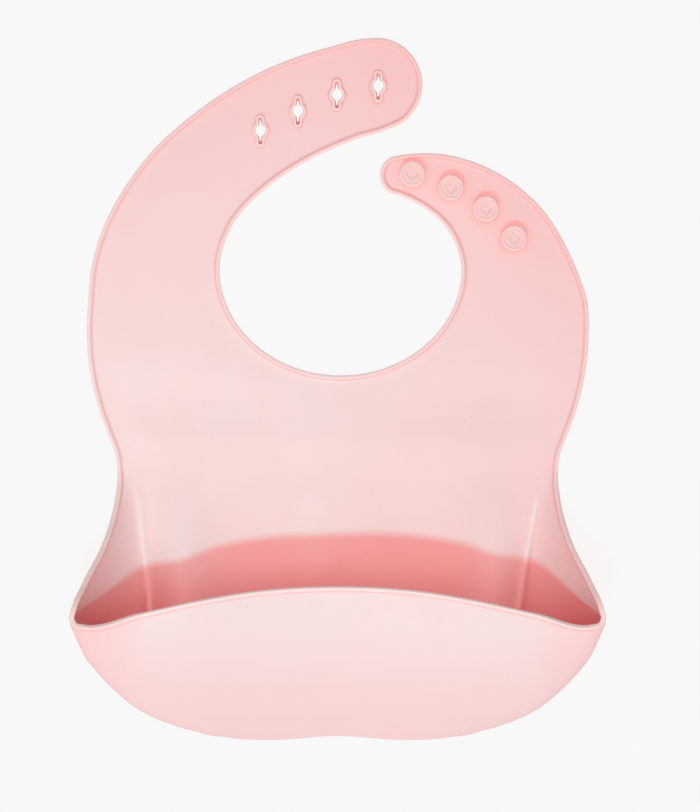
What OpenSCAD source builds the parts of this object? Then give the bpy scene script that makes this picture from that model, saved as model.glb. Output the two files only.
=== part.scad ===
// Silicone baby bib with a catch-all pocket, lying on its back.
// X runs across the bib, Y from the pocket towards the straps, Z up from the back face.
// The origin is the centre of the neck opening, on the plane of the back face.
// The bib is one moulding. It is modelled as the zones that bend about each other.

/* [Sheet] */
// Thickness of the moulded sheet
sheet_t = 1.6; // [1.2:0.1:2.4]
// Width of the bead round every free edge
bead_w = 2.2; // [1.6:0.1:3]
// Height of the bead above the sheet
bead_h = 1.0; // [0.6:0.1:1.4]

/* [Neck opening] */
// Width of the neck opening
neck_w = 104; // [98:0.2:112]
// Depth of the opening below its widest line
neck_drop = 45.8; // [40:0.2:52]

/* [Panel] */
// Width of the band beside the neck, buttonhole side
hole_shoulder_w = 55.2; // [48:0.2:60]
// Width of the band beside the neck, stud side
stud_shoulder_w = 49.4; // [44:0.2:56]
// How far the panel's centreline lies off the neck centre, away from the studs
panel_shift = 1.2; // [0:0.1:3]
// Widest width across the chest
chest_w = 215.8; // [208:0.2:222]
// Distance of the widest chest line below the neck centre
chest_y = 28; // [24:1:32]
// Width at the waist
waist_w = 188.6; // [180:0.2:194]
// Distance of the waist below the neck centre
waist_y = 87; // [84:0.5:90]
// Distance of the line where the bib folds below the neck centre
fold_y = 72; // [68:0.5:74]

/* [Straps] */
// Width of the buttonhole strap at its round end
hole_strap_w = 40.5; // [34:0.1:43]
// Width of the stud strap at its round end
stud_strap_w = 17.5; // [16:0.1:20]

/* [Fastening] */
// Distance from one buttonhole to the next
hole_pitch = 18.2; // [17:0.1:19]
// Distance from one stud to the next
stud_pitch = 17.6; // [17:0.1:18.5]
// Diameter of a stud's stem
stem_d = 4.2; // [3.6:0.1:4.8]
// Diameter of a stud's head
head_d = 11; // [10:0.1:12]
// Thickness of a stud's head
head_t = 2.2; // [1.8:0.1:3]
// Clear height under a head, beyond the strap and its rim
grip_gap = 0.3; // [0.1:0.1:1]
// Half diagonal of the recess in a head
recess_r = 2.9; // [2:0.1:3.4]
// Depth of the recess in a head
recess_depth = 0.4; // [0.2:0.1:0.8]
// Clearance of the round hole round the stem
hole_gap = 0.4; // [0.2:0.1:0.8]
// Length of the slit through a buttonhole
slit_len = 11.4; // [9:0.1:12]
// Width of the slit
slit_w = 1.4; // [0.8:0.1:2]
// Width of the rim round a buttonhole
rim_w = 1.4; // [0.8:0.1:1.6]
// Height of that rim above the strap
rim_h = 0.7; // [0.4:0.1:1]

/* [Pocket] */
// Width of the pocket across its two corners
pocket_w = 230; // [222:0.5:240]
// Distance of the corners below the neck centre
corner_y = 148.5; // [144:0.5:152]
// Height of the corners
corner_z = 38; // [32:0.5:42]
// Distance of the middle of the lip below the neck centre
lip_y = 136.6; // [132:0.2:140]
// Height of the middle of the lip
lip_z = 43; // [38:0.5:48]
// Width of the flat back wall between the side folds
back_w = 163; // [156:0.5:168]
// Distance of the pocket's bottom fold below the neck centre
bottom_y = 193; // [188:0.5:198]
// How far the front wall bulges below the bottom fold
belly = 8; // [5:0.2:11]
// How far the bottom edge dips on each side of its middle
bottom_dip = 1.6; // [0:0.1:3]

/* [Hidden] */
$fn = 64;
pale = "#f7cfcf";
blush = "#f2bcbc";
rose = "#eba7a7";
// Longest step between two points of an outline
step = 4.5;
// How deep a bead is rooted in its sheet, and how far it stands back from the sheet's edge and ends
root_depth = 0.4;
set_back = 0.05;
neck_r = neck_w / 2;

// Stations of each strap: angle round the neck, radius of the inner edge over the neck's radius,
// share of the taper from the shoulder's width down to the round end's
hole_shape = [
    [180, 1, 1], [153, 0.945, 0.498], [133, 0.905, 0.282], [115, 0.914, 0.213],
    [98, 0.987, 0.125], [89, 1.059, 0.051], [79.3, 1.162, 0]
];
stud_shape = [[0, 1, 1], [14.6, 0.946, 0.721], [29, 0.896, 0.457], [44.4, 0.811, 0.212], [57.4, 0.749, 0]];
// Rows of buttonholes and studs, from the strap's end: stations along the strap, then share of its
// half width from the middle towards the outer edge
hole_row = [[6.08, -0.045], [4.75, 0.01], [3.57, -0.02], [2.4, 0]];
stud_row = [[3.62, 0.12], [2.48, 0.03], [1.5, 0.105], [0.45, 0.205]];
// Stations at which each strap bends
hole_bends = [0, 2, 4];
stud_bends = [0, 2];

// Small step along a curve, to find its direction
nudge = 0.01;

// ---- vectors and curves ----

function unit(v) = v / norm(v);
function turned(v) = [-v.y, v.x];
function polar(angle, r) = [r * cos(angle), r * sin(angle)];
function last(list) = list[len(list) - 1];
function reversed(list) = [for (i = [len(list) - 1:-1:0]) list[i]];
function mirrored(p) = len(p) == 3 ? [-p.x, p.y, p.z] : [-p.x, p.y];
// A list without its last item, for joining curves that share a point
function head(list) = [for (i = [0:len(list) - 2]) list[i]];

// Direction of a smooth curve at point i, weighted by the distances to its neighbours
function heading(pts, i) =
    i == 0 ? unit(pts[1] - pts[0])
    : i == len(pts) - 1 ? unit(2 * unit(pts[i] - pts[i - 1]) - heading(pts, i - 1))
    : let (a = norm(pts[i] - pts[i - 1]), b = norm(pts[i + 1] - pts[i]))
      (unit(pts[i] - pts[i - 1]) * b + unit(pts[i + 1] - pts[i]) * a) / (a + b);

// Point on the smooth curve between pts[i] and pts[i + 1]
function curve_point(pts, i, t) =
    let (d = norm(pts[i + 1] - pts[i]), a = heading(pts, i) * d, b = heading(pts, i + 1) * d)
    pts[i] * (2 * t^3 - 3 * t^2 + 1) + a * (t^3 - 2 * t^2 + t)
    + pts[i + 1] * (3 * t^2 - 2 * t^3) + b * (t^3 - t^2);

// Points of the stretch from pts[i] up to, but not including, pts[i + 1]
function stretch(pts, i) =
    let (n = max(2, ceil(norm(pts[i + 1] - pts[i]) / step)))
    [for (k = [0:n - 1]) curve_point(pts, i, k / n)];

// All points from pts[a] to pts[b]
function run(pts, a, b) = concat([for (i = [a:b - 1]) each stretch(pts, i)], [pts[b]]);

// Lengths along a run of points, and the point at a given length along it
function lengths(pts, i = 0, sum = 0) =
    i == len(pts) ? []
    : let (s = i == 0 ? 0 : sum + norm(pts[i] - pts[i - 1])) concat([s], lengths(pts, i + 1, s));
function point_at(pts, s) =
    let (l = lengths(pts))
    [lookup(s, [for (i = [0:len(pts) - 1]) [l[i], pts[i].x]]),
     lookup(s, [for (i = [0:len(pts) - 1]) [l[i], pts[i].y]])];

// ---- outline of the flat sheet ----

// Angle, radius of the centreline and width at each station of a strap
function strap_stations(shape, shoulder_w, end_w) =
    [for (s = shape)
        let (width = end_w + s[2] * (shoulder_w - end_w))
        [s[0], s[1] * neck_r + width / 2, width]];
hole_stations = strap_stations(hole_shape, hole_shoulder_w, hole_strap_w);
stud_stations = strap_stations(stud_shape, stud_shoulder_w, stud_strap_w);
function centreline(stations) = [for (s = stations) polar(s[0], s[1])];
// Points on one edge of a strap, side = 1 left of its run and -1 right of it
function strap_edge(stations, side, shoulder) =
    let (c = centreline(stations))
    [for (i = [0:len(c) - 1])
        let (way = i == 0 ? shoulder : heading(c, i))
        c[i] + turned(way) * side * stations[i][2] / 2];
// Points round a strap's end, from its left edge to its right one
function strap_end(stations) =
    let (c = centreline(stations), n = len(c) - 1, way = heading(c, n), r = stations[n][2] / 2)
    [for (a = [60, 30, 0, -30, -60]) c[n] + way * r * cos(a) + turned(way) * r * sin(a)];

north = [0, 1];
// One side of the panel, from below the shoulder to the waist, measured from the panel's centreline
chest_r = chest_w / 2;
waist_r = waist_w / 2;
side_points = [
    [chest_r - 0.6, -chest_y / 2],
    [chest_r, -chest_y],
    [chest_r - 1.5, -chest_y - 17],
    [chest_r - 5.4, -chest_y - 33],
    [waist_r + 4.2, -fold_y],
    [waist_r + 0.9, -waist_y + 7],
    [waist_r, -waist_y]
];
fold_index = 4;
centre = [-panel_shift, 0];
right_side = [for (p = side_points) centre + p];
left_side = [for (p = side_points) centre + mirrored(p)];
// First point of the pocket's rim below the waist, which the sheet's edge heads for
rim_start = [waist_r + 0.8, -waist_y - 11];
neck_points = [for (a = [195:15:345]) [neck_r * cos(a), neck_drop * sin(a)]];

// The free edge of the flat sheet, once round from the left waist to the right one
outline = concat(
    [centre + mirrored(rim_start)],
    reversed(left_side),
    strap_edge(hole_stations, 1, north),
    strap_end(hole_stations),
    reversed(strap_edge(hole_stations, -1, north)),
    neck_points,
    strap_edge(stud_stations, 1, north),
    strap_end(stud_stations),
    reversed(strap_edge(stud_stations, -1, north)),
    right_side,
    [centre + rim_start]
);
// Places of the named points in that list
n_side = len(side_points);
n_hole = len(hole_stations);
n_stud = len(stud_stations);
n_end = 5;
i_waist_left = 1;
i_hole_out = i_waist_left + n_side;
i_hole_in = i_hole_out + 2 * n_hole + n_end - 1;
i_stud_in = i_hole_in + len(neck_points) + 1;
i_stud_out = i_stud_in + 2 * n_stud + n_end - 1;
i_fold_left = i_waist_left + n_side - 1 - fold_index;
i_fold_right = i_stud_out + 1 + fold_index;
i_waist_right = i_stud_out + n_side;

// ---- sheet and bead ----

// Across a bead: share of its width, share of its height
bead_profile = [[0, 0], [0.15, 0.714], [0.5, 1], [0.85, 0.714], [1, 0]];

// Ways into the sheet from each point of an edge. The two end ones follow the cuts there.
function inward(pts, first_cut, last_cut) =
    [for (i = [0:len(pts) - 1])
        let (way = i == 0 ? unit(pts[1] - pts[0])
                 : i == len(pts) - 1 ? unit(pts[i] - pts[i - 1])
                 : unit(unit(pts[i] - pts[i - 1]) + unit(pts[i + 1] - pts[i])),
             square_in = -turned(way),
             cut = i == 0 ? first_cut : i == len(pts) - 1 ? last_cut : square_in)
        cut / (cut * square_in)];

// Closed solid through rings of points. A ring goes out along one side and back along the other.
module loft(rings) {
    m = len(rings[0]);
    n = len(rings);
    // The closing faces split the other way, so that they meet those of a neighbour on that side
    sides = [for (i = [0:n - 2], j = [0:m - 1])
        let (a = i * m + j, b = i * m + (j + 1) % m)
        each j < m - 1 ? [[a, a + m, b], [b, a + m, b + m]] : [[a, a + m, b + m], [a, b + m, b]]];
    cap = [for (j = [0:floor((m - 3) / 2)])
        let (a = j, b = j + 1, c = m - 2 - j, d = m - 1 - j)
        each b == c ? [[a, b, d]] : [[a, c, d], [a, b, c]]];
    end = [for (f = cap) [for (j = [2:-1:0]) f[j] + (n - 1) * m]];
    polyhedron([for (r = rings) each r], concat(sides, cap, end));
}

// Half-round bead along an edge of the sheet
module bead(pts, first_cut, last_cut) {
    ways = inward(pts, first_cut, last_cut);
    loft([for (i = [0:len(pts) - 1])
        concat(
            [for (p = bead_profile)
                let (q = pts[i] + ways[i] * (set_back + p[0] * (bead_w - set_back)))
                [q.x, q.y, sheet_t + p[1] * bead_h]],
            [for (w = [bead_w, set_back])
                let (q = pts[i] + ways[i] * w) [q.x, q.y, sheet_t - root_depth]]
        )]);
}

// A run of points, shortened at both ends
function shortened(pts, by) =
    let (n = len(pts), a = pts[0], b = last(pts))
    [for (i = [0:n - 1])
        i == 0 ? a + unit(pts[1] - a) * by : i == n - 1 ? b + unit(pts[n - 2] - b) * by : pts[i]];

// Flat zone inside runs of points, in order round it, with a bead on each run that is a free edge
module zone(runs, free) {
    n = len(runs);
    linear_extrude(sheet_t) polygon([for (r = runs) each r]);
    for (k = free) {
        before = last(runs[(k + n - 1) % n]);
        after = runs[(k + 1) % n][0];
        bead(shortened(runs[k], set_back), unit(before - runs[k][0]), unit(after - last(runs[k])));
    }
}

// ---- pocket ----

pocket_r = pocket_w / 2;
back_r = back_w / 2;
// Width of a side fold at the waist, where it starts
gusset_start = 7;
// How far the floor's tangent reaches past the bottom fold for the wanted belly
belly_reach = belly * 2.9;

// Sections of the pocket's wall on the right-hand side, from above the waist to the middle.
// Each has its fold in the back face, two points that draw it outwards and up, and its rim.
half_sections = [
    [for (x = [1, 0.67, 0.33, -0.11]) [waist_r - gusset_start * x, -waist_y + 8, 0]],
    [for (x = [1, 0.67, 0.33, 0]) [waist_r - gusset_start * x, -waist_y, 0]],
    [[back_r + 4.6, rim_start.y, 0], [back_r + 7.6, rim_start.y, 0],
     [rim_start.x - 3.5, rim_start.y, corner_z * 0.05], [rim_start.x, rim_start.y, corner_z * 0.11]],
    [[back_r + 1.8, -corner_y + 31, 0], [back_r + 6.8, -corner_y + 31, 0],
     [pocket_r - 18, -corner_y + 31, corner_z * 0.2], [pocket_r - 14, -corner_y + 31, corner_z * 0.42]],
    [[back_r, -corner_y + 14, 0], [back_r + 9, -corner_y + 14, 0],
     [pocket_r - 10.4, -corner_y + 14, corner_z * 0.38], [pocket_r - 5.6, -corner_y + 14, corner_z * 0.76]],
    [[back_r - 1, -corner_y - 1, 0], [back_r + 12, -corner_y - 2, 0],
     [pocket_r - 0.6, -corner_y + 0.6, corner_z * 0.48], [pocket_r - 0.8, -corner_y + 2.3, corner_z]],
    [[back_r - 1.6, -corner_y - 5, 0], [back_r + 14, -corner_y - 8, 0],
     [pocket_r + 1.4, -corner_y - 4.4, corner_z * 0.49], [pocket_r - 0.1, -corner_y - 1.2, corner_z + 0.1]],
    [[back_r - 2.5, -corner_y - 9, 0], [back_r + 16, -corner_y - 14, 0],
     [pocket_r + 1.6, -corner_y - 10.4, corner_z * 0.5], [pocket_r - 1.6, -corner_y - 4.2, corner_z + 0.2]],
    [[back_r - 6, -bottom_y + 25, 0], [back_r + 15, -bottom_y + 14, 0],
     [pocket_r + 0.6, -bottom_y + 21.5, corner_z * 0.5], [pocket_r - 7, -lip_y - 17.2, corner_z + 0.3]],
    [[back_r - 15, -bottom_y + 12, 0], [back_r + 2, -bottom_y - 3, 0],
     [pocket_r - 6.5, -bottom_y + 4, lip_z * 0.49], [pocket_r - 31, -lip_y - 11.4, lip_z - 3]],
    [[back_r - 31, -bottom_y + 2.5, 0], [back_r - 25, -bottom_y - belly_reach + 3, 0],
     [pocket_r - 43.5, -bottom_y - 1, lip_z * 0.5], [pocket_r - 55.5, -lip_y - 6, lip_z + 0.1]],
    [[back_r * 0.36, -bottom_y - bottom_dip, 0], [back_r * 0.38, -bottom_y - belly_reach - bottom_dip, 0],
     [back_r * 0.4, -bottom_y + 5, lip_z * 0.52], [back_r * 0.4, -lip_y - 1.7, lip_z]],
    [[0, -bottom_y, 0], [0, -bottom_y - belly_reach, 0], [0, -bottom_y + 7, lip_z * 0.52], [0, -lip_y, lip_z]]
];
// Places of the named sections
k_waist = 1;
k_corner = 5;
k_split = 9;
k_middle = len(half_sections) - 1;
// The same list carried one section past the middle, so that curves cross it square
sections = concat(half_sections, [[for (p = half_sections[k_middle - 1]) mirrored(p)]]);
// Steps between two sections
section_steps = 5;

// Point of the wall's outer face: k counts sections, v runs from the fold to the rim
function row(j) = [for (q = sections) q[j]];
rows = [row(0), row(1), row(2), row(3)];
function control(j, k) = let (i = min(floor(k), k_middle)) curve_point(rows[j], i, k - i);
function wall(k, v) =
    let (u = 1 - v)
    control(0, k) * u^3 + control(1, k) * 3 * u^2 * v + control(2, k) * 3 * u * v^2 + control(3, k) * v^3;
// Square to that face, upwards or into the pocket
function inside(k, v) =
    k <= k_waist || v == 0 ? [0, 0, 1]
    : let (e = k + nudge > k_middle ? -nudge : nudge,
           up = wall(k, min(1, v + nudge)) - wall(k, v - nudge),
           round = (wall(k + e, v) - wall(k, v)) / e)
      unit(cross(round, up));

// Steps of a section from its fold to its bead, and where the front wall leaves the floor
wall_steps = 6;
split_step = 2;
// One section of the solid wall: out along its outer face and back along the inner one
function wall_section(k, first, end) =
    let (fine = 24, path = [for (i = [0:fine]) wall(k, i / fine)], l = lengths(path), total = l[fine],
         share = [for (i = [0:fine]) [l[i], i / fine]],
         plain = [for (j = [0:wall_steps - 1]) [j / wall_steps * (total - bead_w), 0]],
         beaded = [for (p = reversed(bead_profile)) [total - bead_w * p[0], p[1] * bead_h]],
         line = concat(plain, beaded),
         chosen = [for (j = [first:min(end, len(line) - 1)])
             let (v = j == 0 ? 0 : j == len(line) - 1 ? 1 : lookup(line[j][0], share))
             [wall(k, v), inside(k, v), sheet_t + line[j][1]]])
    concat([for (c = chosen) c[0]], reversed([for (c = chosen) c[0] + c[1] * c[2]]));
whole = 99;

// The wall from section a to section b on the right, and on across the middle if wanted
module wall_piece(a, b, first = 0, end = whole) {
    right = [for (i = [0:(b - a) * section_steps]) wall_section(a + i / section_steps, first, end)];
    if (b < k_middle) {
        loft(right);
    } else {
        loft(concat(right, [for (r = reversed(head(right))) [for (p = r) mirrored(p)]]));
    }
}
// Line of the fold between the back wall and the pocket's wall, from the right waist to the left one
fold_right = [for (i = [0:(k_middle - k_waist) * section_steps])
    let (p = wall(k_waist + i / section_steps, 0)) [p.x, p.y]];
fold_line = [for (p = concat(fold_right, reversed([for (q = head(fold_right)) mirrored(q)]))) centre + p];

// ---- fastening ----

stem_h = sheet_t + rim_h + grip_gap;
hole_d = stem_d + hole_gap;
fastenings = 4;

// Place on a strap, from one entry of a row. The outer edge is left of the strap's run at side = 1.
function strap_place(stations, entry, side) =
    let (c = centreline(stations), i = min(floor(entry[0]), len(c) - 2), t = entry[0] - i,
         way = unit(curve_point(c, i, t + nudge) - curve_point(c, i, t - nudge)),
         width = stations[i][2] + (stations[i + 1][2] - stations[i][2]) * t)
    curve_point(c, i, t) + turned(way) * side * entry[1] * width / 2;
// Places one pitch apart on the smooth line through a row, from its first entry
function along(stations, row, side, pitch) =
    let (line = [for (entry = row) strap_place(stations, entry, side)],
         path = run(line, 0, len(line) - 1))
    [for (k = [0:fastenings - 1]) point_at(path, k * pitch)];
holes = along(hole_stations, hole_row, 1, hole_pitch);
studs = along(stud_stations, stud_row, -1, stud_pitch);

// Opening of a buttonhole, grown by a margin: a round hole for the stem with a slit above and below
module buttonhole(margin) {
    circle(d = hole_d + 2 * margin);
    for (end = [-1, 1]) {
        translate([0, end * (slit_len - slit_w) / 2]) circle(d = slit_w + 2 * margin);
    }
    square([slit_w + 2 * margin, slit_len - slit_w], center = true);
}

// A strap zone with its buttonholes, numbered from the strap's end
module holed_zone(runs, free, numbers) {
    difference() {
        union() {
            zone(runs, free);
            for (i = numbers) {
                translate([holes[i].x, holes[i].y, sheet_t - root_depth])
                    linear_extrude(root_depth + rim_h) buttonhole(rim_w);
            }
        }
        for (i = numbers) {
            translate([holes[i].x, holes[i].y, -1]) linear_extrude(sheet_t + rim_h + 2) buttonhole(0);
        }
    }
}

// Mushroom stud: a stem and a flat head with a soft edge and a shallow diamond recess
head_edge = head_t * 0.4;
module stud(number) {
    place = studs[number - 1];
    color(blush) translate([place.x, place.y, sheet_t]) difference() {
        rotate_extrude() union() {
            square([stem_d / 2, stem_h + head_t / 2]);
            translate([0, stem_h]) square([head_d / 2 - head_edge, head_t]);
            translate([0, stem_h + head_edge]) square([head_d / 2, head_t - 2 * head_edge]);
            for (z = [head_edge, head_t - head_edge]) {
                translate([head_d / 2 - head_edge, stem_h + z]) circle(head_edge);
            }
        }
        translate([0, 0, stem_h + head_t - recess_depth]) linear_extrude(1) diamond(recess_r);
    }
}

// Diamond with slightly hollow sides
module diamond(r) {
    hollow = 0.42;
    polygon([for (a = [0:45:315]) polar(a, a % 90 == 0 ? r : r * hollow * sqrt(2))]);
}

// ---- pieces ----

module yoke_panel() {
    color(pale) zone([
        run(outline, i_fold_left, i_hole_out),
        run(outline, i_hole_in, i_stud_in),
        run(outline, i_stud_out, i_fold_right)
    ], [0, 1, 2]);
}
module lower_panel() {
    color(pale) zone([
        run(outline, i_waist_left, i_fold_left),
        run(outline, i_fold_right, i_waist_right),
        fold_line
    ], [0, 1]);
}
module hole_strap_root() {
    color(blush) zone([
        run(outline, i_hole_out, i_hole_out + hole_bends[1]),
        run(outline, i_hole_in - hole_bends[1], i_hole_in)
    ], [0, 1]);
}
module hole_strap_middle() {
    color(blush) holed_zone([
        run(outline, i_hole_out + hole_bends[1], i_hole_out + hole_bends[2]),
        run(outline, i_hole_in - hole_bends[2], i_hole_in - hole_bends[1])
    ], [0, 1], [2, 3]);
}
module hole_strap_tip() {
    color(blush) holed_zone([run(outline, i_hole_out + hole_bends[2], i_hole_in - hole_bends[2])], [0], [0, 1]);
}
module stud_strap_root() {
    color(blush) zone([
        run(outline, i_stud_in, i_stud_in + stud_bends[1]),
        run(outline, i_stud_out - stud_bends[1], i_stud_out)
    ], [0, 1]);
}
module stud_strap_tip() {
    color(blush) zone([run(outline, i_stud_in + stud_bends[1], i_stud_out - stud_bends[1])], [0]);
}
module left_gusset() {
    color(rose) translate(centre) mirror([1, 0, 0]) wall_piece(k_waist, k_split);
}
module right_gusset() {
    color(rose) translate(centre) wall_piece(k_waist, k_split);
}
module pocket_floor() {
    color(rose) translate(centre) wall_piece(k_split, k_middle, 0, split_step);
}
module pocket_front() {
    color(pale) translate(centre) wall_piece(k_split, k_middle, split_step, whole);
}
module stud_1() { stud(1); }
module stud_2() { stud(2); }
module stud_3() { stud(3); }
module stud_4() { stud(4); }

yoke_panel();
lower_panel();
left_gusset();
right_gusset();
pocket_floor();
pocket_front();
hole_strap_root();
hole_strap_middle();
hole_strap_tip();
stud_strap_root();
stud_strap_tip();
stud_1();
stud_2();
stud_3();
stud_4();
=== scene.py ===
import math

import bpy
import numpy as np
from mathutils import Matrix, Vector
from mathutils.kdtree import KDTree

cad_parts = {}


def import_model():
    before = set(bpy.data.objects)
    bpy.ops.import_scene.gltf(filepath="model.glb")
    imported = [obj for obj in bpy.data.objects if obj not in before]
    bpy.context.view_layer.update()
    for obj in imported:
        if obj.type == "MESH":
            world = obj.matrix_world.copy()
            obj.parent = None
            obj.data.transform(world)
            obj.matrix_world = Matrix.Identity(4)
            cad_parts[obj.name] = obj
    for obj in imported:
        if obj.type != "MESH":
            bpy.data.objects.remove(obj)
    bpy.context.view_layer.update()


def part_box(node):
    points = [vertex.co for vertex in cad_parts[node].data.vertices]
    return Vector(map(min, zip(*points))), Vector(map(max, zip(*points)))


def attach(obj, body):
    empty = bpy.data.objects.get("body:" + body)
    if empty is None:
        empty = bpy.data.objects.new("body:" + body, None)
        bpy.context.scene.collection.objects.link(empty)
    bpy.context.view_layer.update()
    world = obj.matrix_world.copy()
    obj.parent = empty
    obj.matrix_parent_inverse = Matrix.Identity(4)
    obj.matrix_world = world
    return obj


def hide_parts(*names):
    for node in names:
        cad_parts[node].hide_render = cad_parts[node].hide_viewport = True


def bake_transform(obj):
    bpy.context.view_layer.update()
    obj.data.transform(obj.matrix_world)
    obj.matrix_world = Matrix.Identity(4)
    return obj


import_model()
bpy.ops.object.select_all(action="DESELECT")

# ==== The moulding ====
# The bib is one sheet of silicone, 1.6 mm thick, with a half-round bead round every free edge. It
# is moulded flat, apart from the pocket, whose wall rises from the sheet below the waist. Here it
# is one closed skin, which is cut into its bending zones further down. Sizes are in mm.
MM = 0.001
SHEET = 1.6
BEAD_W = 2.2
BEAD_H = 0.7
NECK_R = 52.0
NECK_DROP = 45.8
# The chest and the pocket have their middle a little to the left of the neck opening's. Half widths
# are taken from there, and distances down the front from the neck opening's centre.
CENTRE_X = -1.2
CHEST_R = 107.9
CHEST_Y = 28.0
WAIST_R = 94.3
WAIST_Y = 87.0
FOLD_Y = 72.0
# Spacing of the points along the edge, and width of the strip of skin along it
EDGE_STEP = 1.5
BAND = 7.0


def unit(v):
    return v / np.linalg.norm(v)


def turned(v):
    return np.array([-v[1], v[0]])


def polar(angle, r):
    return np.array([r * math.cos(math.radians(angle)), r * math.sin(math.radians(angle))])


def heading(pts, i):
    """Direction of a smooth curve at point i, weighted by the distances to its neighbours."""
    if i == 0:
        return unit(pts[1] - pts[0])
    if i == len(pts) - 1:
        return unit(2 * unit(pts[i] - pts[i - 1]) - heading(pts, i - 1))
    a = np.linalg.norm(pts[i] - pts[i - 1])
    b = np.linalg.norm(pts[i + 1] - pts[i])
    return (unit(pts[i] - pts[i - 1]) * b + unit(pts[i + 1] - pts[i]) * a) / (a + b)


def curve_point(pts, i, t):
    d = np.linalg.norm(pts[i + 1] - pts[i])
    a = heading(pts, i) * d
    b = heading(pts, i + 1) * d
    return (pts[i] * (2 * t**3 - 3 * t**2 + 1) + a * (t**3 - 2 * t**2 + t)
            + pts[i + 1] * (3 * t**2 - 2 * t**3) + b * (t**3 - t**2))


def smooth_run(pts, first, end, step):
    """Points about a step apart on the smooth curve from pts[first] to pts[end]."""
    line = []
    for i in range(first, end):
        n = max(2, math.ceil(np.linalg.norm(pts[i + 1] - pts[i]) / step))
        line += [curve_point(pts, i, k / n) for k in range(n)]
    return np.array(line + [pts[end]])


# Stations of each strap: angle round the neck, radius of the inner edge over the neck's radius,
# share of the taper from the shoulder's width down to the round end's
hole_shape = [(180, 1, 1), (153, 0.945, 0.498), (133, 0.905, 0.282), (115, 0.914, 0.213),
              (98, 0.987, 0.125), (89, 1.059, 0.051), (79.3, 1.162, 0)]
stud_shape = [(0, 1, 1), (14.6, 0.946, 0.721), (29, 0.896, 0.457), (44.4, 0.811, 0.212),
              (57.4, 0.749, 0)]


def strap_line(shape, shoulder_w, end_w):
    """Middle line of a strap and its width at each station."""
    widths = [end_w + s[2] * (shoulder_w - end_w) for s in shape]
    middle = np.array([polar(s[0], s[1] * NECK_R + w / 2) for s, w in zip(shape, widths)])
    return middle, widths


def strap_side(middle, widths, side):
    ways = [np.array([0, 1.0])] + [heading(middle, i) for i in range(1, len(middle))]
    return [m + turned(way) * side * w / 2 for m, way, w in zip(middle, ways, widths)]


def strap_round_end(middle, widths):
    way = heading(middle, len(middle) - 1)
    r = widths[-1] / 2
    return [middle[-1] + way * r * math.cos(a) + turned(way) * r * math.sin(a)
            for a in map(math.radians, (60, 30, 0, -30, -60))]


HOLE_SHOULDER_W, HOLE_STRAP_W = 55.2, 40.5
STUD_SHOULDER_W, STUD_STRAP_W = 49.4, 17.5
hole_middle, hole_widths = strap_line(hole_shape, HOLE_SHOULDER_W, HOLE_STRAP_W)
stud_middle, stud_widths = strap_line(stud_shape, STUD_SHOULDER_W, STUD_STRAP_W)
side_shape = [(CHEST_R - 0.6, -CHEST_Y / 2), (CHEST_R, -CHEST_Y), (CHEST_R - 1.5, -CHEST_Y - 17),
              (CHEST_R - 5.4, -CHEST_Y - 33), (WAIST_R + 4.2, -FOLD_Y),
              (WAIST_R + 1.3, -WAIST_Y + 7), (WAIST_R + 0.4, -WAIST_Y)]
rim_start = np.array([WAIST_R + 1.4, -WAIST_Y - 11])
right_side = [np.array([CENTRE_X + x, y]) for x, y in side_shape]
left_side = [np.array([CENTRE_X - x, y]) for x, y in side_shape]
neck = [np.array([NECK_R * math.cos(math.radians(a)), NECK_DROP * math.sin(math.radians(a))])
        for a in range(195, 346, 15)]
outline = ([np.array([CENTRE_X - rim_start[0], rim_start[1]])] + left_side[::-1]
           + strap_side(hole_middle, hole_widths, 1) + strap_round_end(hole_middle, hole_widths)
           + strap_side(hole_middle, hole_widths, -1)[::-1] + neck
           + strap_side(stud_middle, stud_widths, 1) + strap_round_end(stud_middle, stud_widths)
           + strap_side(stud_middle, stud_widths, -1)[::-1] + right_side
           + [np.array([CENTRE_X + rim_start[0], rim_start[1]])])
flat_edge = smooth_run(outline, 1, len(outline) - 2, EDGE_STEP)

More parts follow.
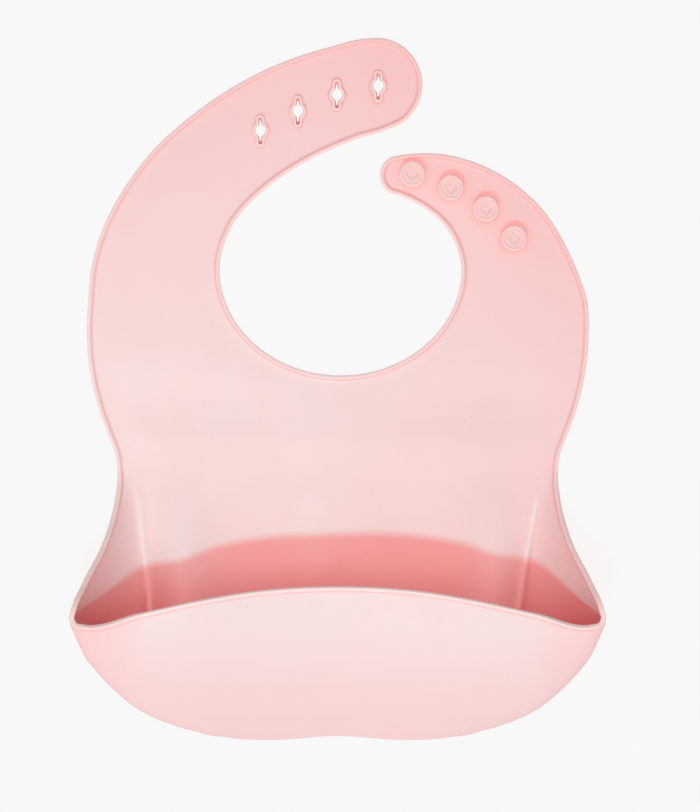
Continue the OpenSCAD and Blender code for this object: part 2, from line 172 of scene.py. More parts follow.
# The pocket's wall: each section has its fold in the back face, two points that draw it outwards
# and up, and its rim. The list runs from above the waist to the middle, on the right-hand side.
# POCKET_R and BACK_R are half widths at the corners and at the folds. REACH draws the floor's
# rounding out below the bottom, and DIP is how much lower the bottom lies beside its middle.
POCKET_R = 115.0
BACK_R = 81.5
CORNER_Y = 148.5
CORNER_Z = 38.0
BOTTOM_Y = 193.0
LIP_Y = 136.6
LIP_Z = 43.0
REACH = 23.2
DIP = 1.6
half_sections = [
    [(WAIST_R + 0.4 - BAND * x, -WAIST_Y + 8, 0) for x in (1, 0.67, 0.33, -0.15)],
    [(WAIST_R + 0.4 - BAND * x, -WAIST_Y, 0) for x in (1, 0.67, 0.33, 0)],
    [(BACK_R + 4.6, rim_start[1], 0), (BACK_R + 7.6, rim_start[1], 0),
     (rim_start[0] - 3.5, rim_start[1], CORNER_Z * 0.05),
     (rim_start[0], rim_start[1], CORNER_Z * 0.11)],
    [(BACK_R + 1.8, -CORNER_Y + 31, 0), (BACK_R + 6.8, -CORNER_Y + 31, 0),
     (POCKET_R - 18, -CORNER_Y + 31, CORNER_Z * 0.2),
     (POCKET_R - 14, -CORNER_Y + 31, CORNER_Z * 0.42)],
    [(BACK_R, -CORNER_Y + 14, 0), (BACK_R + 9, -CORNER_Y + 14, 0),
     (POCKET_R - 10.4, -CORNER_Y + 14, CORNER_Z * 0.38),
     (POCKET_R - 5.6, -CORNER_Y + 14, CORNER_Z * 0.76)],
    [(BACK_R - 1, -CORNER_Y - 1, 0), (BACK_R + 12, -CORNER_Y - 2, 0),
     (POCKET_R - 0.6, -CORNER_Y + 0.6, CORNER_Z * 0.48),
     (POCKET_R - 0.8, -CORNER_Y + 2.3, CORNER_Z)],
    [(BACK_R - 1.6, -CORNER_Y - 5, 0), (BACK_R + 14, -CORNER_Y - 8, 0),
     (POCKET_R + 1.4, -CORNER_Y - 4.4, CORNER_Z * 0.49),
     (POCKET_R - 0.1, -CORNER_Y - 1.2, CORNER_Z + 0.1)],
    [(BACK_R - 2.5, -CORNER_Y - 9, 0), (BACK_R + 16, -CORNER_Y - 14, 0),
     (POCKET_R + 1.6, -CORNER_Y - 10.4, CORNER_Z * 0.5),
     (POCKET_R - 1.6, -CORNER_Y - 4.2, CORNER_Z + 0.2)],
    [(BACK_R - 6, -BOTTOM_Y + 25, 0), (BACK_R + 15, -BOTTOM_Y + 14, 0),
     (POCKET_R + 0.6, -BOTTOM_Y + 21.5, CORNER_Z * 0.5),
     (POCKET_R - 7, -LIP_Y - 17.2, CORNER_Z + 0.3)],
    [(BACK_R - 15, -BOTTOM_Y + 12, 0), (BACK_R + 2, -BOTTOM_Y - 3, 0),
     (POCKET_R - 6.5, -BOTTOM_Y + 4, LIP_Z * 0.49), (POCKET_R - 31, -LIP_Y - 11.4, LIP_Z - 3)],
    [(BACK_R - 31, -BOTTOM_Y + 2.5, 0), (BACK_R - 25, -BOTTOM_Y - REACH + 3, 0),
     (POCKET_R - 43.5, -BOTTOM_Y - 1, LIP_Z * 0.5), (POCKET_R - 55.5, -LIP_Y - 6, LIP_Z + 0.1)],
    [(BACK_R * 0.36, -BOTTOM_Y - DIP, 0), (BACK_R * 0.38, -BOTTOM_Y - REACH - DIP, 0),
     (BACK_R * 0.4, -BOTTOM_Y + 5, LIP_Z * 0.52), (BACK_R * 0.4, -LIP_Y - 1.7, LIP_Z)],
    [(0, -BOTTOM_Y, 0), (0, -BOTTOM_Y - REACH, 0),
     (0, -BOTTOM_Y + 7, LIP_Z * 0.52), (0, -LIP_Y, LIP_Z)],
]
MIDDLE = len(half_sections) - 1
past_middle = [(-x, y, z) for x, y, z in half_sections[MIDDLE - 1]]
sections = np.array(half_sections + [past_middle], float)
SECTION_STEPS = 14


def wall_controls(k):
    i = min(int(k), MIDDLE)
    return np.array([curve_point(sections[:, j], i, k - i) for j in range(4)])


def wall_face(controls, v):
    """Points of the wall's outer face on one section: v runs from the fold to the rim."""
    v = np.asarray(v, float)[:, None]
    u = 1 - v
    return (controls[0] * u**3 + controls[1] * 3 * u * u * v + controls[2] * 3 * u * v * v
            + controls[3] * v**3)


def wall_inside(k, v):
    """Square to that face, upwards or into the pocket."""
    e = -0.01 if k + 0.01 > MIDDLE else 0.01
    c = wall_controls(k)
    w = np.asarray(v, float)[:, None]
    u = 1 - w
    up = 3 * ((c[1] - c[0]) * u * u + 2 * (c[2] - c[1]) * u * w + (c[3] - c[2]) * w * w)
    along = (wall_face(wall_controls(k + e), v) - wall_face(c, v)) / e
    n = np.cross(along, up)
    return n / np.linalg.norm(n, axis=1)[:, None]


# Across the skin: under the sheet to the edge, round it and over the bead, and back on the upper
# face. Each point is (distance from the edge, height over the lower face), and the two long runs
# are shares of the depth.
LONG_ROWS = 24
LOWER_R = 0.45
FOOT = 3.0
edge_profile = [(LOWER_R * (1 - math.sin(a)), LOWER_R * (1 - math.cos(a)))
                for a in np.radians([0, 22, 45, 68, 90])]
edge_profile += [(0.0, 0.95), (0.0, SHEET - 0.05)]
edge_profile += [(BEAD_W / 2 * (1 - math.cos(a)), SHEET - 0.05 + (BEAD_H + 0.05) * math.sin(a))
                 for a in np.radians([14, 28, 43, 58, 74, 90])]
edge_profile += [(BEAD_W / 2 * (1 + math.sin(a)), SHEET + BEAD_H * math.cos(a))
                 for a in np.radians([16, 32, 46, 58, 68])]
edge_profile += [(BEAD_W + 0.08, SHEET + 0.26), (BEAD_W + 0.32, SHEET + 0.1), (FOOT, SHEET)]
edge_d = np.array([p[0] for p in edge_profile])
edge_z = np.array([p[1] for p in edge_profile])
# Rows of the skin: the outermost line of the edge, and the foot of the bead
EDGE_ROW = LONG_ROWS + 5
FOOT_ROW = LONG_ROWS + len(edge_profile) - 1
long_run = np.arange(1, LONG_ROWS + 1) / LONG_ROWS


def across(depth):
    """Distances from the edge, and heights, of one station's points."""
    under = LOWER_R + (depth - LOWER_R) * long_run[::-1]
    over = FOOT + (depth - FOOT) * long_run
    d = np.concatenate([under, edge_d, over])
    z = np.concatenate([np.zeros(LONG_ROWS), edge_z, np.full(LONG_ROWS, SHEET)])
    return d, z


def flat_station(point, way):
    d, z = across(BAND)
    into = np.array([way[1], -way[0]])
    xy = point + d[:, None] * into
    return np.column_stack([xy, z])


def wall_station(k, side):
    c = wall_controls(k)
    fine = np.linspace(0, 1, 97)
    face = wall_face(c, fine)
    length = np.concatenate([[0], np.cumsum(np.linalg.norm(np.diff(face, axis=0), axis=1))])
    d, z = across(length[-1])
    v = np.interp(length[-1] - d, length, fine)
    p = wall_face(c, v) + wall_inside(k, v) * z[:, None]
    p[:, 0] = CENTRE_X + side * p[:, 0]
    return p


ways = np.gradient(flat_edge, axis=0)
ways /= np.linalg.norm(ways, axis=1)[:, None]
stations = [flat_station(p, w) for p, w in zip(flat_edge, ways)]
wall_ks = [1 + i / SECTION_STEPS for i in range(1, (MIDDLE - 1) * SECTION_STEPS + 1)]
stations += [wall_station(k, 1) for k in wall_ks]
stations += [wall_station(k, -1) for k in wall_ks[-2::-1]]
stations.append(stations[0])
skin = np.array(stations)

bpy.ops.mesh.primitive_grid_add(x_subdivisions=skin.shape[1] - 1, y_subdivisions=skin.shape[0] - 1)
moulding = bpy.context.object
moulding.name = "moulding"
moulding.data.vertices.foreach_set("co", (skin.reshape(-1) * MM))
moulding.data.update()
moulding.data.materials.append(None)
moulding.data.materials.append(None)
bpy.ops.object.mode_set(mode="EDIT")
bpy.ops.mesh.select_all(action="SELECT")
bpy.ops.mesh.remove_doubles(threshold=2e-6)
bpy.ops.mesh.fill_holes(sides=0)
bpy.ops.mesh.normals_make_consistent(inside=False)
bpy.ops.object.mode_set(mode="OBJECT")
for face in moulding.data.polygons:
    face.material_index = 1 if len(face.vertices) > 4 else 0

# The two wide flat faces, marked by the second slot, get a net of lines, closer together where the
# pocket has its ridges
NET = 8.0
net_lines = [((x, 0, 0), (1, 0, 0)) for x in np.arange(-112, 113, NET)]
net_lines += [((0, y, 0), (0, 1, 0)) for y in np.arange(-192, 104, NET)]
net_lines += [((CENTRE_X + side * x, 0, 0), (1, 0, 0))
              for side in (-1, 1) for x in np.arange(49.5, 90, 1.3)]
net_lines += [((0, y, 0), (0, 1, 0)) for y in np.arange(-160, -88, 2.7)]


def bisect_faces(obj, slot, lines):
    """Cut lines across the faces of one material slot, keeping everything."""
    obj.active_material_index = slot
    bpy.ops.object.mode_set(mode="EDIT")
    for place, normal in lines:
        bpy.ops.mesh.select_all(action="DESELECT")
        bpy.ops.object.material_slot_select()
        bpy.ops.mesh.bisect(plane_co=Vector(place) * MM, plane_no=normal)
    bpy.ops.object.mode_set(mode="OBJECT")


bisect_faces(moulding, 1, net_lines)


def finder(points):
    """Finds the nearest of some points."""
    tree = KDTree(len(points))
    for i, p in enumerate(points):
        tree.insert(p, i)
    tree.balance()
    return tree


def smooth(a, b, x):
    """Eased share from 0 at a to 1 at b."""
    t = min(1.0, max(0.0, (x - a) / (b - a)))
    return t * t * (3 - 2 * t)


def sheet_wave(x, y):
    """The sheet keeps soft waves from packing. This is its lift in mm, never below nothing."""
    ribs = 0.4 * (1 + math.sin((x + 14) / 8.6 + 0.3 * math.sin(y / 31))) * smooth(-52, -78, y)
    bow = 0.6 * (1 - math.exp(-((y + 59) / 8.5) ** 2)) * smooth(-96, -72, y) * smooth(-16, -48, y)
    drift = 0.3 * (1 + math.sin(x / 27 + y / 44) * math.cos(y / 23 - x / 61))
    return ribs + bow + drift


# Place across the pocket, width and height of its ridges, crests and bulge
RIDGE_X, RIDGE_W, RIDGE_H = 67, 7.5, 4.4
CREST_X, CREST_W, CREST_H = 85.6, 1.4, 0.9
BULGE_X, BULGE_W, BULGE_H = -13, 12, 0.5


def pocket_relief(x, y):
    """The pocket's floor has two soft ridges and a bulge, and a narrow crest along each side fold.
    This gives their height in mm and the share of painted highlight on them."""
    half = abs(x - CENTRE_X)
    lean = 0.1 if x < 0 else 0.17
    ridge = (math.exp(-(((half - RIDGE_X) / RIDGE_W) ** 2) / 2)
             * smooth(-84, -134, y) * smooth(-178, -150, y))
    crest_and_highlight = (math.exp(-(((half - CREST_X - lean * (y + 98)) / CREST_W) ** 2))
             * smooth(-92, -104, y) * smooth(-158, -146, y))
    bulge = (math.exp(-(((x - BULGE_X) / BULGE_W) ** 2))
             * smooth(-84, -104, y) * smooth(-150, -120, y))
    lift = RIDGE_H * ridge + CREST_H * crest_and_highlight + BULGE_H * bulge
    return lift, max(crest_and_highlight, 0.62 * ridge**0.5, 0.5 * bulge)


# The sheet's two faces are lifted together, and less towards the bead and the pocket's folds
rim = finder(skin[:, FOOT_ROW])
fold = finder(skin[len(flat_edge):, 0])
co = np.empty(len(moulding.data.vertices) * 3)
moulding.data.vertices.foreach_get("co", co)
co = co.reshape(-1, 3) / MM
for p in co:
    inside_folds = p[1] > -WAIST_Y + 6 or abs(p[0] - CENTRE_X) < BACK_R + 6
    if p[2] < SHEET + 0.01 and inside_folds:
        from_rim = rim.find(p)[2]
        from_fold = fold.find((p[0], p[1], 0))[2]
        p[2] += sheet_wave(p[0], p[1]) * smooth(1.5, 13, from_rim) * smooth(0.5, 16, from_fold)
painted_highlights = moulding.data.attributes.new("crest_and_highlight", "FLOAT", "POINT")
for i, p in enumerate(co):
    if -180 < p[1] < -80 and abs(p[0] - CENTRE_X) < 92 and p[2] < 20:
        lift, painted_highlights.data[i].value = pocket_relief(p[0], p[1])
        p[2] += lift
moulding.data.vertices.foreach_set("co", (co * MM).reshape(-1))
moulding.data.update()

edge = finder(skin[:, EDGE_ROW])


def rim_distance(obj):
    """Keeps each point's distance from the nearest free edge, in mm, for the painted highlight and
    shade on the bead.
    """
    xyz = np.empty(len(obj.data.vertices) * 3)
    obj.data.vertices.foreach_get("co", xyz)
    attribute = obj.data.attributes.new("from_edge", "FLOAT", "POINT")
    away = [min(6, edge.find(p)[2]) for p in xyz.reshape(-1, 3) / MM]
    attribute.data.foreach_set("value", away)


# ==== Cutting the moulding into its zones ====
# The real bib bends anywhere. Here the skin is cut a little before each of a few lines that it
# bends along, into zones. The cut faces meet and stay hidden.


def pick(piece):
    """Selects one piece and nothing else."""
    bpy.ops.object.select_all(action="DESELECT")
    piece.select_set(True)
    bpy.context.view_layer.objects.active = piece


def copy_of(source, name):
    """A picked copy with a mesh of its own."""
    piece = source.copy()
    piece.data = source.data.copy()
    piece.name = name
    bpy.context.collection.objects.link(piece)
    pick(piece)
    return piece


def zone_of(source, name, cuts):
    """A copy of a skin, kept on the far side of each cut (place, direction), and closed there."""
    piece = copy_of(source, name)
    bpy.ops.object.mode_set(mode="EDIT")
    for place, direction in cuts:
        bpy.ops.mesh.select_all(action="SELECT")
        bpy.ops.mesh.bisect(plane_co=Vector(place) * MM, plane_no=direction, clear_inner=True,
                            use_fill=True, threshold=1e-7)
    bpy.ops.object.mode_set(mode="OBJECT")
    for face in piece.data.polygons:
        face.material_index = 0
    return piece


def smooth_skin(piece):
    pick(piece)
    bpy.ops.object.shade_smooth_by_angle(angle=math.radians(38))


# Each line has its place and the way that the sheet runs on from there
FOLD = ((0, -FOLD_Y, 0), (0, 1, 0))
HOLE_FOLD = ((-79.6, 0, 0), (0, 1, 0))
HOLE_BEND = ((-47.32, 50.74, 0), (0.778, 0.628, 0))
HOLE_CURL = ((-10.09, 71.79, 0), (0.933, 0.359, 0))
STUD_FOLD = ((76.7, 0, 0), (0, 1, 0))
STUD_CURL = ((54.78, 30.36, 0), (-0.812, 0.584, 0))
# The two straps' ends lie side by side, so each is also cut off from the other
HOLE_SIDE = ((-17.5, 17.5, 0), (-0.7071, 0.7071, 0))
STUD_SIDE = ((-17.5, 17.5, 0), (0.7071, -0.7071, 0))
# The waist fold is wider than the others: its cut starts further before its line
FOLD_LEAD = 3.5
FOLD_SPREAD = 15


def after(line, lead=2.0):
    """The cut that keeps what lies past a line, starting a little before it."""
    place, way = line
    return tuple(p - w * lead for p, w in zip(place, way)), way


def before(line, lead=2.0):
    """The cut that keeps what lies short of a line, up to a little before it."""
    place, way = after(line, lead)
    return place, tuple(-w for w in way)


# ==== Pocket ====
# The lower panel and the catch pocket are one deep scoop of the same silicone. Its side folds are
# soft enough to go flat, and its front wall is held open by its own curve. It leans out when the
# pocket is pulled open.


def silicone(name, through_colour=(1.0, 0.4, 0.41, 1), carries_studs=False):
    """Pale pink silicone with a fine matte skin. Its colour holds painted light and shade: paler
    towards the lower left, where the lamp is, deeper towards the straps and the stud side, painted
    shade on the pocket's front and sides, painted red shade in folds, corners and deep in the
    pocket, and painted highlights on the bead, the ridges and the crests. Shadow rays pass through
    it and come out red."""
    made = bpy.data.materials.new(name)
    made.use_nodes = True
    nodes, links = made.node_tree.nodes, made.node_tree.links
    shader = nodes["Principled BSDF"]
    shader.inputs["Specular IOR Level"].default_value = 0.35
    place = nodes.new("ShaderNodeTexCoord")
    axes = nodes.new("ShaderNodeSeparateXYZ")
    links.new(place.outputs["Object"], axes.inputs[0])

    def ramp(value, low, high, bottom, top):
        scale = nodes.new("ShaderNodeMapRange")
        scale.inputs["From Min"].default_value = low
        scale.inputs["From Max"].default_value = high
        scale.inputs["To Min"].default_value = bottom
        scale.inputs["To Max"].default_value = top
        links.new(value, scale.inputs["Value"])
        return scale.outputs[0]

    def combined(operation, one, other):
        step = nodes.new("ShaderNodeMath")
        step.operation = operation
        links.new(one, step.inputs[0])
        links.new(other, step.inputs[1])
        return step.outputs[0]

    def tinted(below, colour, share):
        mix = nodes.new("ShaderNodeMix")
        mix.data_type = "RGBA"
        if isinstance(below, tuple):
            mix.inputs["A"].default_value = below
        else:
            links.new(below, mix.inputs["A"])
        mix.inputs["B"].default_value = colour
        links.new(share, mix.inputs["Factor"])
        return mix.outputs["Result"]

    def noise(scale, detail):
        grain = nodes.new("ShaderNodeTexNoise")
        grain.inputs["Scale"].default_value = scale
        grain.inputs["Detail"].default_value = detail
        links.new(place.outputs["Object"], grain.inputs["Vector"])
        return grain.outputs["Fac"]

    # painted light falloff: paler towards the lower left, where the lamp is, and deeper towards the
    # straps and the stud side
    depth = combined("ADD", ramp(axes.outputs["Y"], -0.045, 0.1, 0, 0.66),
                     ramp(axes.outputs["X"], -0.005, 0.11, 0, 0.42))
    colour = tinted((0.955, 0.745, 0.73, 1), (0.955, 0.50, 0.495, 1), depth)
    # painted shade on the pocket's front, most of all round its bottom
    colour = tinted(colour, (0.87, 0.7, 0.69, 1), ramp(axes.outputs["Y"], -0.124, -0.142, 0, 1))
    colour = tinted(colour, (0.87, 0.54, 0.535, 1), ramp(axes.outputs["Y"], -0.155, -0.196, 0, 0.6))
    # painted shade on its sides too
    side = nodes.new("ShaderNodeMath")
    side.operation = "ABSOLUTE"
    links.new(axes.outputs["X"], side.inputs[0])
    sides = combined("MULTIPLY", ramp(side.outputs[0], 0.082, 0.112, 0, 0.8),
                     ramp(axes.outputs["Y"], -0.08, -0.105, 0, 1))
    colour = tinted(colour, (0.97, 0.56, 0.56, 1), sides)
    # cloudy patches, as the pigment settled
    colour = tinted(colour, (0.93, 0.60, 0.59, 1), ramp(noise(38, 3), 0.4, 0.75, 0, 0.16))
    # painted shade: folds and corners go red
    hollow = nodes.new("ShaderNodeAmbientOcclusion")
    hollow.samples = 12
    hollow.inputs["Distance"].default_value = 0.005
    hollow.only_local = not carries_studs
    distance = nodes.new("ShaderNodeAttribute")
    distance.attribute_name = "from_edge"
    from_edge = distance.outputs["Fac"]
    inner = ramp(from_edge, 1.9, 2.3, 0, 1)
    fold_shade_strength = 0.6 if carries_studs else 0.35
    painted_fold_shade = combined("MULTIPLY", ramp(hollow.outputs["AO"], 0.95, 0.3, 0, fold_shade_strength),
                     ramp(from_edge, 1.9, 2.3, 0.45, 1))
    colour = tinted(colour, (0.95, 0.33, 0.33, 1), painted_fold_shade)
    # painted shade deep down in the pocket
    deep_shade_ao = nodes.new("ShaderNodeAmbientOcclusion")
    deep_shade_ao.samples = 12
    deep_shade_ao.inputs["Distance"].default_value = 0.05
    deep_shade_ao.only_local = True
    painted_pocket_shade = combined("MULTIPLY", ramp(deep_shade_ao.outputs["AO"], 0.84, 0.3, 0, 1), inner)
    colour = tinted(colour, (0.55, 0.25, 0.25, 1), painted_pocket_shade)
    # painted highlight: paler on the ridges, the bulge and the crests beside the folds
    crest_and_highlight = nodes.new("ShaderNodeAttribute")
    crest_and_highlight.attribute_name = "crest_and_highlight"
    colour = tinted(colour, (0.95, 0.86, 0.85, 1), ramp(crest_and_highlight.outputs["Fac"], 0.2, 0.9, 0, 0.6))
    # painted highlight on the bead and on its outer side, with a line of painted shade at its foot
    painted_foot_shade = combined("MULTIPLY", ramp(from_edge, 1.7, 2.1, 0, 1), ramp(from_edge, 2.3, 2.9, 0.4, 0))
    colour = tinted(colour, (0.97, 0.36, 0.36, 1), painted_foot_shade)
    colour = tinted(colour, (0.98, 0.76, 0.71, 1), ramp(from_edge, 1.2, 2.0, 0.5, 0))
    colour = tinted(colour, (1.0, 0.74, 0.69, 1), ramp(from_edge, 0.1, 0.5, 0.6, 0))
    # a few specks of dust in the skin
    dust = combined("MULTIPLY", ramp(noise(620, 1), 0.765, 0.79, 0, 0.45),
                    ramp(noise(90, 0), 0.5, 0.62, 0, 1))
    colour = tinted(colour, (0.5, 0.3, 0.3, 1), dust)
    links.new(colour, shader.inputs["Base Color"])
    links.new(ramp(noise(240, 2), 0.3, 0.7, 0.42, 0.58), shader.inputs["Roughness"])
    fine = nodes.new("ShaderNodeBump")
    fine.inputs["Strength"].default_value = 0.25
    fine.inputs["Distance"].default_value = 0.00015
    links.new(noise(1500, 2), fine.inputs["Height"])
    links.new(fine.outputs["Normal"], shader.inputs["Normal"])
    # what a lamp sends through the silicone comes out red
    path = nodes.new("ShaderNodeLightPath")
    through = nodes.new("ShaderNodeBsdfTransparent")
    through.inputs["Color"].default_value = through_colour
    body = nodes.new("ShaderNodeMixShader")
    links.new(path.outputs["Is Shadow Ray"], body.inputs[0])
    links.new(shader.outputs[0], body.inputs[1])
    links.new(through.outputs[0], body.inputs[2])
    links.new(body.outputs[0], nodes["Material Output"].inputs["Surface"])
    return made


bib_pocket = zone_of(moulding, "bib_pocket", [before(FOLD, FOLD_LEAD)])
rim_distance(bib_pocket)
smooth_skin(bib_pocket)
bib_pocket.data.materials.clear()
bib_pocket.data.materials.append(silicone("pocket_silicone"))
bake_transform(bib_pocket)
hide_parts("lower_panel", "left_gusset", "right_gusset", "pocket_floor", "pocket_front")

# ==== Collar panel ====
# The flat chest panel with the neck opening, moulded in one with the pocket. It folds down over the
# pocket along a line above the waist.


def cross_lines(piece, place, direction, length, spacing=1.5):
    """Lines across a zone where it bends, from the hinge's line onwards."""
    pick(piece)
    bpy.ops.object.mode_set(mode="EDIT")
    for s in np.arange(0, length + 0.1, spacing):
        spot = (Vector(place) + Vector(direction) * s) * MM
        bpy.ops.mesh.select_all(action="SELECT")
        bpy.ops.mesh.bisect(plane_co=spot, plane_no=direction)
    bpy.ops.object.mode_set(mode="OBJECT")


def bend_zone(piece, parent, child, place, direction, length):
    """Bakes a finished zone's place into its mesh. The two bodies, the hinge's line and the length
    are not used.
    """
    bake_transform(piece)


bib_panel = zone_of(moulding, "bib_panel", [after(FOLD, FOLD_LEAD), before(HOLE_FOLD)])
cross_lines(bib_panel, *FOLD, FOLD_SPREAD)
rim_distance(bib_panel)
smooth_skin(bib_panel)
bib_panel.data.materials.clear()
bib_panel.data.materials.append(silicone("panel_silicone"))
bend_zone(bib_panel, "pocket_body", "collar", *FOLD, FOLD_SPREAD)
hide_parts("yoke_panel")

# ==== Straps ====
# Two straps of the same silicone, moulded in one with the chest panel, that close round the neck.
# The wide one has four buttonholes, and the narrow one carries four studs.

# Each zone has its name and cuts, the line it bends along, how far past that line the bend spreads,
# the bodies before and after the line, and the solid that the zone stands for
strap_zones = [
    ("hole_strap_lower", [after(HOLE_FOLD), before(HOLE_BEND), HOLE_SIDE],
     HOLE_FOLD, 13, "collar", "hole_strap_base", "hole_strap_root"),
    ("hole_strap_centre", [after(HOLE_BEND), before(HOLE_CURL), HOLE_SIDE, after(HOLE_FOLD)],
     HOLE_BEND, 14, "hole_strap_base", "hole_strap_centre", "hole_strap_middle"),
    ("hole_strap_end", [after(HOLE_CURL), HOLE_SIDE],
     HOLE_CURL, 12, "hole_strap_centre", "hole_strap_end", "hole_strap_tip"),
    ("stud_strap_lower", [after(STUD_FOLD), before(STUD_CURL), STUD_SIDE],
     STUD_FOLD, 9, "collar", "stud_strap_base", "stud_strap_root"),
    ("stud_strap_end", [after(STUD_FOLD), after(STUD_CURL), STUD_SIDE],
     STUD_CURL, 5.5, "stud_strap_base", "stud_strap_end", "stud_strap_tip"),
]
strap_skins = {"hole": silicone("hole_strap_silicone"),
               "stud": silicone("stud_strap_silicone", carries_studs=True)}

# Each buttonhole is a round hole for the stem, with a slit above and below it, inside a soft
# raised rim
HOLE_R = 2.35
SLIT_R = 5.7
SLIT_HALF = 0.7
holes = {"hole_strap_end": [(16.27, 78.62), (-1.54, 74.96)],
         "hole_strap_centre": [(-18.29, 67.88), (-34.43, 59.48)]}


def closed_solid(name, rings):
    """A closed solid: a round face is extruded again and again, and each new ring is shaped."""
    bpy.ops.object.select_all(action="DESELECT")
    bpy.ops.mesh.primitive_circle_add(vertices=len(rings[0]), fill_type="NGON")
    solid = bpy.context.object
    solid.name = name
    last = {i: i for i in range(len(rings[0]))}
    for i, p in enumerate(rings[0]):
        solid.data.vertices[i].co = Vector(p) * MM
    bpy.context.tool_settings.mesh_select_mode = (False, False, True)
    for ring in rings[1:]:
        old = {tuple(round(c, 8) for c in solid.data.vertices[v].co): i for v, i in last.items()}
        bpy.ops.object.mode_set(mode="EDIT")
        bpy.ops.mesh.extrude_region_move()
        bpy.ops.object.mode_set(mode="OBJECT")
        last = {v.index: old[tuple(round(c, 8) for c in v.co)]
                for v in solid.data.vertices if v.select}
        for v, i in last.items():
            solid.data.vertices[v].co = Vector(ring[i]) * MM
    bpy.ops.object.mode_set(mode="EDIT")
    bpy.ops.mesh.select_all(action="SELECT")
    bpy.ops.mesh.normals_make_consistent(inside=False)
    bpy.ops.object.mode_set(mode="OBJECT")
    return solid


def joined(piece, tool, operation):
    """Adds a solid to a piece or cuts it out, and removes the tool."""
    pick(piece)
    work = piece.modifiers.new("work", "BOOLEAN")
    work.operation = operation
    work.solver = "EXACT"
    work.object = tool
    bpy.ops.object.modifier_apply(modifier="work")
    bpy.data.objects.remove(tool)


def keyhole(place, z, hole_r, slit_r, slit_half, points=96, corner=4):
    """Outline round a hole and its slits, with a soft corner where they meet."""
    ring = []
    for i in range(points):
        a = 2 * math.pi * i / points
        # points crowd towards the slit's two ends
        a += 0.36 * math.sin(2 * a)
        across_slit, along_slit = abs(math.cos(a)), abs(math.sin(a))
        reach = slit_half / max(across_slit, 1e-6)
        straight = slit_r - slit_half
        if reach * along_slit > straight:
            b = straight * along_slit
            reach = b + math.sqrt(max(b * b - straight**2 + slit_half**2, 0))
        r = (hole_r**corner + reach**corner) ** (1 / corner)
        ring.append((place[0] + r * math.cos(a), place[1] + r * math.sin(a), z))
    return ring


def add_buttonhole(strap, place):
    """Raises the rim, then cuts the hole with its slits."""
    # height, and margin round the hole
    mound = [(1.25, 1.45), (SHEET + 0.02, 1.45), (SHEET + 0.28, 1.38), (SHEET + 0.5, 1.2),
             (SHEET + 0.64, 0.98), (SHEET + 0.7, 0.7)]
    rings = [keyhole(place, z, HOLE_R + m, SLIT_R + m - 0.1, SLIT_HALF + m - 0.1, corner=7)
             for z, m in mound]
    joined(strap, closed_solid("rim", rings), "UNION")
    # height, and what is added to the hole's radius, the slit's reach and its half width
    cut = [(-0.5, -0.1, -1.75, -0.34), (0.75, -0.1, -1.75, -0.34), (0.95, 0, -0.1, -0.1),
           (SHEET + 0.35, 0, 0, 0.05), (SHEET + 0.55, 0.08, 0.08, 0.12),
           (SHEET + 0.68, 0.25, 0.2, 0.28), (SHEET + 1.2, 0.33, 0.3, 0.36)]
    rings = [keyhole(place, z, HOLE_R + h, SLIT_R + s, SLIT_HALF + w, corner=2.4 if z < 0.9 else 5)
             for z, h, s, w in cut]
    joined(strap, closed_solid("cutter", rings), "DIFFERENCE")


def hole_rim_distance(strap, place):
    """For the painted highlight and shade, a buttonhole's rim counts as an edge and the walls of
    its slit as a fold.
    """
    value = strap.data.attributes["from_edge"].data
    for v in strap.data.vertices:
        x, y = v.co.x / MM - place[0], v.co.y / MM - place[1]
        if x * x + y * y > 100:
            continue
        along = max(0.0, abs(y) - SLIT_R + SLIT_HALF)
        m = min(math.hypot(x, y) - HOLE_R, math.hypot(x, along) - SLIT_HALF)
        if m < -0.05:
            value[v.index].value = 2.5
        else:
            value[v.index].value = min(value[v.index].value, m * 1.52 if m < 1.45 else m + 0.75)


for name, cuts, line, length, parent, child, node in strap_zones:
    strap = zone_of(moulding, name, cuts)
    for place in holes.get(name, []):
        add_buttonhole(strap, place)
    cross_lines(strap, *line, length)
    rim_distance(strap)
    for place in holes.get(name, []):
        hole_rim_distance(strap, place)
    smooth_skin(strap)
    strap.data.materials.clear()
    strap.data.materials.append(strap_skins[name[:4]])
    bend_zone(strap, parent, child, *line, length)
    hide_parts(node)
bpy.data.objects.remove(moulding)

# ==== Studs ====
# Four mushroom studs of the same silicone, moulded in one with the narrow strap: a stem with a
# rounded root, and a flat head with a soft edge and a shallow diamond recess. The head snaps
# through a buttonhole.
STUD_POINTS = 72
HEAD_UNDER = 4.2
stud_profile = [(2.9, 1.3), (2.9, 1.58), (2.5, 1.7), (2.25, 1.95), (2.1, 2.4), (2.1, 3.6),
                (2.2, 3.95), (2.5, 4.14), (3.2, HEAD_UNDER), (4.3, 4.22), (4.8, 4.32),
                (5.15, 4.55), (5.4, 4.88), (5.52, 5.3), (5.5, 5.7), (5.38, 6.05), (5.2, 6.29),
                (4.98, 6.4), (4.75, 6.4), (4.55, 6.34), (4.4, 6.28), (3.6, 6.28)]
turns = [2 * math.pi * i / STUD_POINTS for i in range(STUD_POINTS)]
stud_rings = [[(r * math.cos(a), r * math.sin(a), z) for a in turns] for r, z in stud_profile]
stud = closed_solid("stud", stud_rings)


def diamond(r, z, hollow=0.9):
    """Outline of a diamond with slightly hollow sides and blunt tips."""
    ring = []
    for a in turns:
        c, s = abs(math.cos(a)), abs(math.sin(a))
        reach = r / (c**hollow + s**hollow) ** (1 / hollow)
        ring.append((reach * math.cos(a), reach * math.sin(a), z))
    return ring


def stud_edge(at):
    """For the painted highlight and shade, the head's rim counts as an edge and the recess's wall
    as a fold.
    """
    r = at.xy.length / MM
    if 6.12 < at.z / MM < 6.26 and r < 3.1:
        return 2.3
    if at.z > HEAD_UNDER * MM:
        return max(0.0, 5.5 - r) * 2.2
    return 5.0


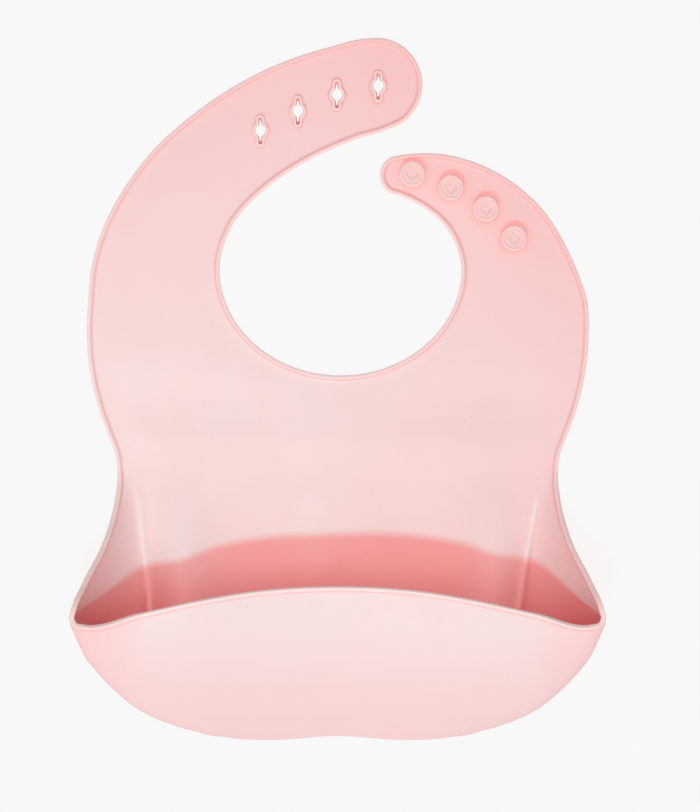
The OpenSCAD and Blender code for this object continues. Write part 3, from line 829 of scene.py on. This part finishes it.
recess = [diamond(2.55, 6.1), diamond(2.62, 6.14), diamond(2.8, 6.24), diamond(2.95, 6.3),
          diamond(3.2, 6.8)]
joined(stud, closed_solid("recess", recess), "DIFFERENCE")
smooth_skin(stud)
stud_edges = stud.data.attributes.new("from_edge", "FLOAT", "POINT")
stud_edges.data.foreach_set("value", [stud_edge(v.co) for v in stud.data.vertices])
stud.data.materials.append(silicone("stud_silicone", through_colour=(1.0, 0.8, 0.8, 1)))
stud_bodies = ("stud_strap_end", "stud_strap_end", "stud_strap_base", "stud_strap_base")
for n, body in enumerate(stud_bodies, 1):
    low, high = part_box("stud_%d" % n)
    one = copy_of(stud, "stud_%d_moulded" % n)
    one.location = ((low.x + high.x) / 2, (low.y + high.y) / 2, 0)
    bpy.ops.object.transform_apply(location=True, rotation=True, scale=True)
    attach(one, body)
    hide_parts("stud_%d" % n)
bpy.data.objects.remove(stud)

# ==== Floor, lights and camera ====
# A pale table top, one lamp high up beyond the pocket and an even pale room. The camera looks
# straight down, and it sees the table and the room a little brighter than they light the bib.
PALE = 0.947
bpy.ops.mesh.primitive_plane_add(size=60, location=(0, 0, -0.0002))
table = bpy.context.object
table.name = "table_top"
bpy.ops.object.transform_apply(location=True)
pale_top = bpy.data.materials.new("pale_top")
pale_top.use_nodes = True
nodes, links = pale_top.node_tree.nodes, pale_top.node_tree.links
nodes.clear()
paint = nodes.new("ShaderNodeBsdfDiffuse")
paint.inputs["Color"].default_value = (0.86, 0.86, 0.86, 1)
glow = nodes.new("ShaderNodeEmission")
glow.inputs["Color"].default_value = (1, 1, 1, 1)
glow.inputs["Strength"].default_value = PALE
mix = nodes.new("ShaderNodeMixShader")
rays = nodes.new("ShaderNodeLightPath")
share_seen = nodes.new("ShaderNodeMath")
share_seen.operation = "MULTIPLY"
share_seen.inputs[1].default_value = 0.93
out = nodes.new("ShaderNodeOutputMaterial")
links.new(rays.outputs["Is Camera Ray"], share_seen.inputs[0])
links.new(share_seen.outputs[0], mix.inputs[0])
links.new(paint.outputs[0], mix.inputs[1])
links.new(glow.outputs[0], mix.inputs[2])
links.new(mix.outputs[0], out.inputs["Surface"])
table.data.materials.append(pale_top)

world = bpy.data.worlds.new("room")
bpy.context.scene.world = world
world.use_nodes = True
nodes, links = world.node_tree.nodes, world.node_tree.links
background = nodes["Background"]
background.inputs["Color"].default_value = (1, 1, 1, 1)
room_rays = nodes.new("ShaderNodeLightPath")
room_light = nodes.new("ShaderNodeMapRange")
room_light.inputs["To Min"].default_value = 0.5
room_light.inputs["To Max"].default_value = PALE
links.new(room_rays.outputs["Is Camera Ray"], room_light.inputs["Value"])
links.new(room_light.outputs[0], background.inputs["Strength"])

sun = bpy.data.lights.new("key", "SUN")
sun.energy = 1.72
sun.angle = math.radians(5)
key = bpy.data.objects.new("key", sun)
key.rotation_euler = Vector((-0.1, -0.49, 0.86)).to_track_quat("Z", "Y").to_euler()
bpy.context.collection.objects.link(key)

HEIGHT = 8.0
VIEW_W = 0.301
camera = bpy.data.cameras.new("camera")
camera.sensor_width = 36
camera.sensor_fit = "HORIZONTAL"
camera.clip_end = 30
camera.lens = camera.sensor_width * HEIGHT / VIEW_W
eye = bpy.data.objects.new("camera", camera)
eye.location = (0.0041, -0.0589, HEIGHT)
bpy.context.collection.objects.link(eye)
bpy.context.scene.camera = eye

bpy.context.scene.view_settings.view_transform = "Standard"
